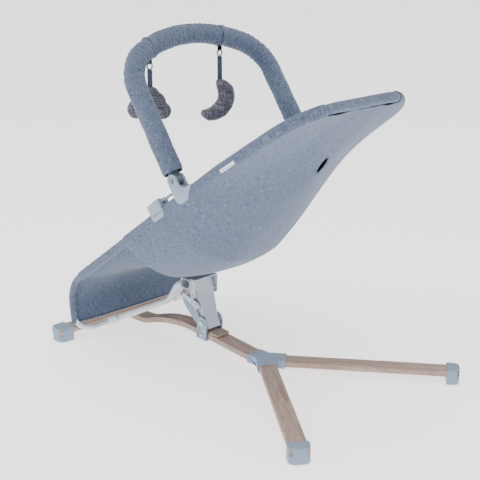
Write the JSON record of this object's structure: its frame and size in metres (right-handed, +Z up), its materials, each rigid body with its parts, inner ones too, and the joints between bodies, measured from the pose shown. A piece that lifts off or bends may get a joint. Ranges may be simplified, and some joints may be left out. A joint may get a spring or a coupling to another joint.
{
  "type": "bouncer seat",
  "caption": "Baby bouncer seat: a fabric sling on a bent tube frame, carried by a reclining centre bracket on a wooden Y base, with a padded toy bar.",
  "frame": {"origin": "on the floor, at the centre of the footprint", "axes": "+X to the sitting child's left, -Y to the foot end, +Y to the head end, +Z up"},
  "size_m": [0.4632, 0.7127, 0.6365],
  "materials": {
    "beech": "matte lacquered beech",
    "blue_grey_plastic": "fine satin moulding",
    "blue_grey_steel": "powder coat",
    "light_grey_steel": "powder coat",
    "lever_steel": "satin powder coat",
    "zinc_steel": "zinc plated",
    "dark_steel": "satin dark",
    "white_steel": "gloss powder coat",
    "white_plastic": "satin",
    "dark_plastic": "matte",
    "bracket_plastic": "satin",
    "grip_rubber": "matte",
    "bumper_rubber": "matte",
    "seat_fabric": "woven chambray",
    "padded_fabric": "woven chambray, gathered",
    "harness_webbing": "woven webbing",
    "toy_fabric": "woven, stuffed"
  },
  "bodies": {
    "base": {"front_crossbar": "beech", "centre_beam": "beech", "rear_leg_left": "beech", "rear_leg_right": "beech", "rear_junction": "blue_grey_plastic", "front_foot_cap_left": "blue_grey_plastic", "front_foot_cap_right": "blue_grey_plastic", "rear_foot_cap_left": "blue_grey_plastic", "rear_foot_cap_right": "blue_grey_plastic", "foot_pads": "grip_rubber", "crossbar_screws": "zinc_steel", "junction_screws": "zinc_steel", "saddle_bracket": "blue_grey_steel", "saddle_screws": "zinc_steel", "saddle_pad": "bumper_rubber", "side_plate_left": "blue_grey_steel", "side_plate_right": "blue_grey_steel", "main_pin": "zinc_steel"},
    "strut": {"rear_strut": "light_grey_steel", "carrier_tube": "light_grey_steel", "top_pin": "zinc_steel"},
    "lock": {"clamp_bolt": "zinc_steel", "lock_lever_left": "lever_steel", "lock_lever_right": "lever_steel"},
    "seat": {"seat_hub": "light_grey_steel", "rubber_bush": "bumper_rubber", "centre_tube_left": "white_steel", "centre_tube_right": "white_steel", "tube_collar_left": "white_plastic", "tube_collar_right": "white_plastic", "leg_rod_left": "white_steel", "leg_rod_right": "white_steel", "rod_sleeve_left": "dark_plastic", "rod_sleeve_right": "dark_plastic", "rim_tube": "white_steel", "sling": "seat_fabric", "leg_panel": "seat_fabric", "bar_bracket_left": "bracket_plastic", "bar_bracket_right": "bracket_plastic", "bar_pin_left": "dark_steel", "bar_pin_right": "dark_steel", "side_clip_left": "bracket_plastic", "side_clip_right": "bracket_plastic", "crotch_strap": "harness_webbing", "waist_strap_left": "harness_webbing", "waist_strap_right": "harness_webbing", "buckle_body": "dark_plastic"},
    "toy_bar": {"bar_end_left": "dark_plastic", "bar_end_right": "dark_plastic", "bar_tube": "white_steel", "bar_cover": "padded_fabric", "cloud_strap": "padded_fabric", "moon_strap": "padded_fabric"},
    "cloud": {"cloud_ring": "dark_steel", "toy_cloud": "toy_fabric"},
    "moon": {"moon_ring": "dark_steel", "toy_moon": "toy_fabric"},
    "clip_left": {"clip_lever_left": "bracket_plastic"},
    "clip_right": {"clip_lever_right": "bracket_plastic"},
    "button": {"buckle_button": "bracket_plastic"}
  },
  "joints": [
    {"name": "recline", "type": "hinge", "parent": "base", "child": "strut", "pos_m": [0, -0.09745, 0.058], "axis": [-1, 0, 0], "range_deg": [0, 16]},
    {"name": "bounce", "type": "hinge", "parent": "strut", "child": "seat", "pos_m": [0, -0.13145, 0.112], "axis": [-1, 0, 0], "range_deg": [-1, 3], "stiffness_Nm_per_rad": 280},
    {"name": "lock_lever", "type": "hinge", "parent": "base", "child": "lock", "pos_m": [0, -0.11145, 0.0925], "axis": [1, 0, 0], "range_deg": [0, 40]},
    {"name": "toy_bar_fold", "type": "hinge", "parent": "seat", "child": "toy_bar", "pos_m": [0, 0.00505, 0.3952], "axis": [1, 0, 0], "range_deg": [-60, 40]},
    {"name": "cloud_swing", "type": "hinge", "parent": "toy_bar", "child": "cloud", "pos_m": [0.105, -0.13763, 0.57657], "axis": [1, 0, 0], "range_deg": [-30, 30]},
    {"name": "moon_swing", "type": "hinge", "parent": "toy_bar", "child": "moon", "pos_m": [-0.075, -0.14311, 0.58457], "axis": [1, 0, 0], "range_deg": [-30, 30]},
    {"name": "clip_left_open", "type": "hinge", "parent": "seat", "child": "clip_left", "pos_m": [0.17, -0.03954, 0.34716], "axis": [1, 0, 0], "range_deg": [0, 40]},
    {"name": "clip_right_open", "type": "hinge", "parent": "seat", "child": "clip_right", "pos_m": [-0.17, -0.03954, 0.34716], "axis": [1, 0, 0], "range_deg": [0, 40]},
    {"name": "buckle_press", "type": "slide", "parent": "seat", "child": "button", "axis": [0, 0.5764, -0.8171], "range_m": [0, 0.002], "stiffness_N_per_m": 900}
  ]
}
